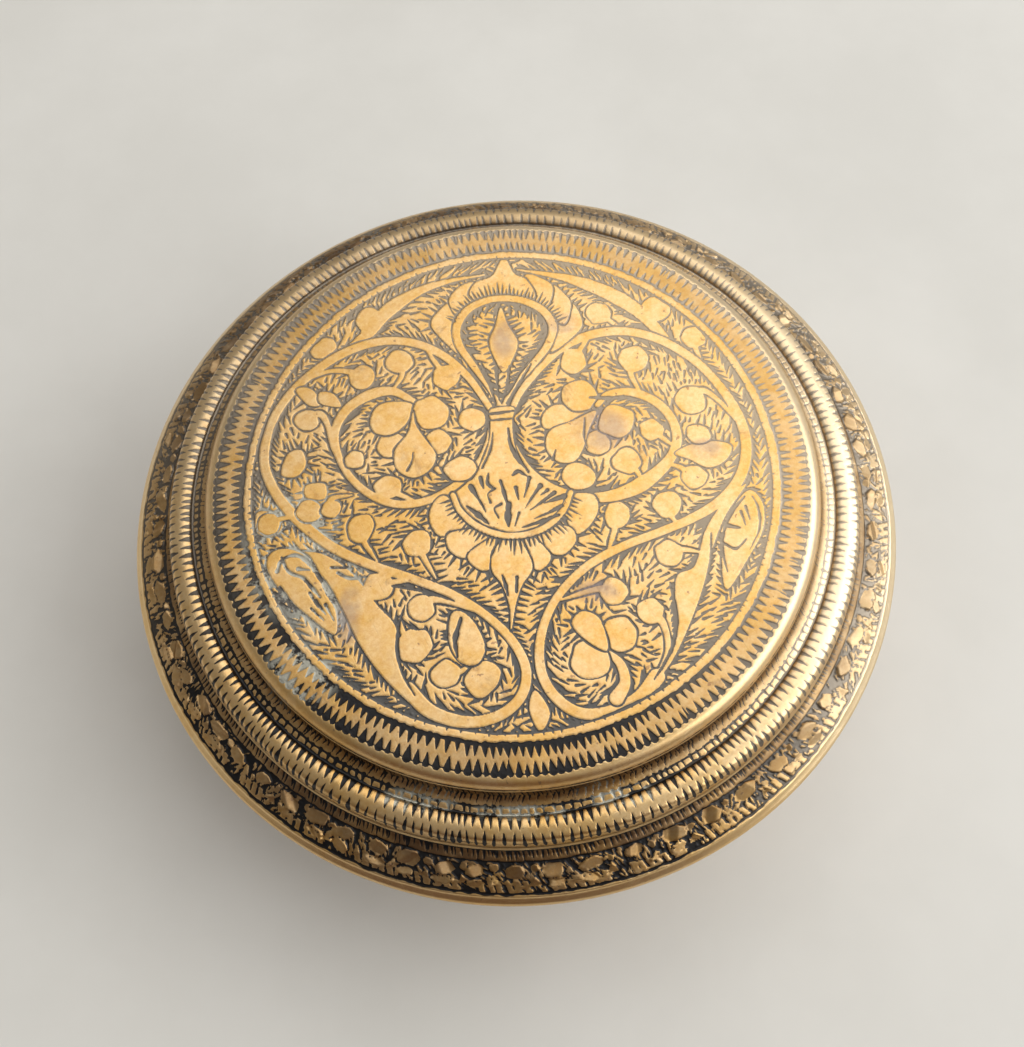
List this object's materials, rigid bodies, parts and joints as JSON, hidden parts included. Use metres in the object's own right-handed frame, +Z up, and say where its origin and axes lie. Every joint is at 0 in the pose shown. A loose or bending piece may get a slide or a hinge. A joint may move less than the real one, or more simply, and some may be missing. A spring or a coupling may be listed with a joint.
{
  "type": "spice box",
  "caption": "Low round engraved brass spice box with a stepped lift-off lid, loose inner cups and a small spoon.",
  "frame": {"origin": "centre of the foot ring's bottom, on the surface the box stands on", "axes": "+Z up through the middle of the lid; +X along the spoon, from its bowl to its handle"},
  "size_m": [0.12, 0.12, 0.0497],
  "materials": {
    "engraved_brass": "hand-engraved, worn bright on the high metal, dark patina in every cut and cove",
    "plain_brass": "turned and soldered, dull gold with brown tarnish in the corners",
    "cup_brass": "turned, brighter than the outside, fine lathe lines"
  },
  "bodies": {
    "box": {"foot_ring": "plain_brass", "body_shell": "engraved_brass", "mouth_ring": "plain_brass"},
    "lid": {"lid_shell": "engraved_brass", "lid_collar": "plain_brass"},
    "cup_middle": {"cup_middle": "cup_brass"},
    "cup_1": {"cup_1": "cup_brass"},
    "cup_2": {"cup_2": "cup_brass"},
    "cup_3": {"cup_3": "cup_brass"},
    "cup_4": {"cup_4": "cup_brass"},
    "cup_5": {"cup_5": "cup_brass"},
    "cup_6": {"cup_6": "cup_brass"},
    "spoon": {"spoon": "plain_brass"}
  },
  "joints": [
    {"name": "lid_lift", "type": "slide", "parent": "box", "child": "lid", "axis": [0, 0, 1], "range_m": [0, 0.09]},
    {"name": "spoon_lift", "type": "slide", "parent": "box", "child": "spoon", "axis": [0, 0, 1], "range_m": [0, 0.0675]},
    {"name": "cup_middle_lift", "type": "slide", "parent": "box", "child": "cup_middle", "axis": [0, 0, 1], "range_m": [0, 0.045]},
    {"name": "cup_1_lift", "type": "slide", "parent": "box", "child": "cup_1", "axis": [0, 0, 1], "range_m": [0, 0.045]},
    {"name": "cup_2_lift", "type": "slide", "parent": "box", "child": "cup_2", "axis": [0, 0, 1], "range_m": [0, 0.045]},
    {"name": "cup_3_lift", "type": "slide", "parent": "box", "child": "cup_3", "axis": [0, 0, 1], "range_m": [0, 0.045]},
    {"name": "cup_4_lift", "type": "slide", "parent": "box", "child": "cup_4", "axis": [0, 0, 1], "range_m": [0, 0.045]},
    {"name": "cup_5_lift", "type": "slide", "parent": "box", "child": "cup_5", "axis": [0, 0, 1], "range_m": [0, 0.045]},
    {"name": "cup_6_lift", "type": "slide", "parent": "box", "child": "cup_6", "axis": [0, 0, 1], "range_m": [0, 0.045]}
  ],
  "couplings": [
    {"joint": "spoon_lift", "follows": "lid_lift", "ratio": 0.75},
    {"joint": "cup_middle_lift", "follows": "lid_lift", "ratio": 0.5},
    {"joint": "cup_1_lift", "follows": "lid_lift", "ratio": 0.5},
    {"joint": "cup_2_lift", "follows": "lid_lift", "ratio": 0.5},
    {"joint": "cup_3_lift", "follows": "lid_lift", "ratio": 0.5},
    {"joint": "cup_4_lift", "follows": "lid_lift", "ratio": 0.5},
    {"joint": "cup_5_lift", "follows": "lid_lift", "ratio": 0.5},
    {"joint": "cup_6_lift", "follows": "lid_lift", "ratio": 0.5}
  ]
}
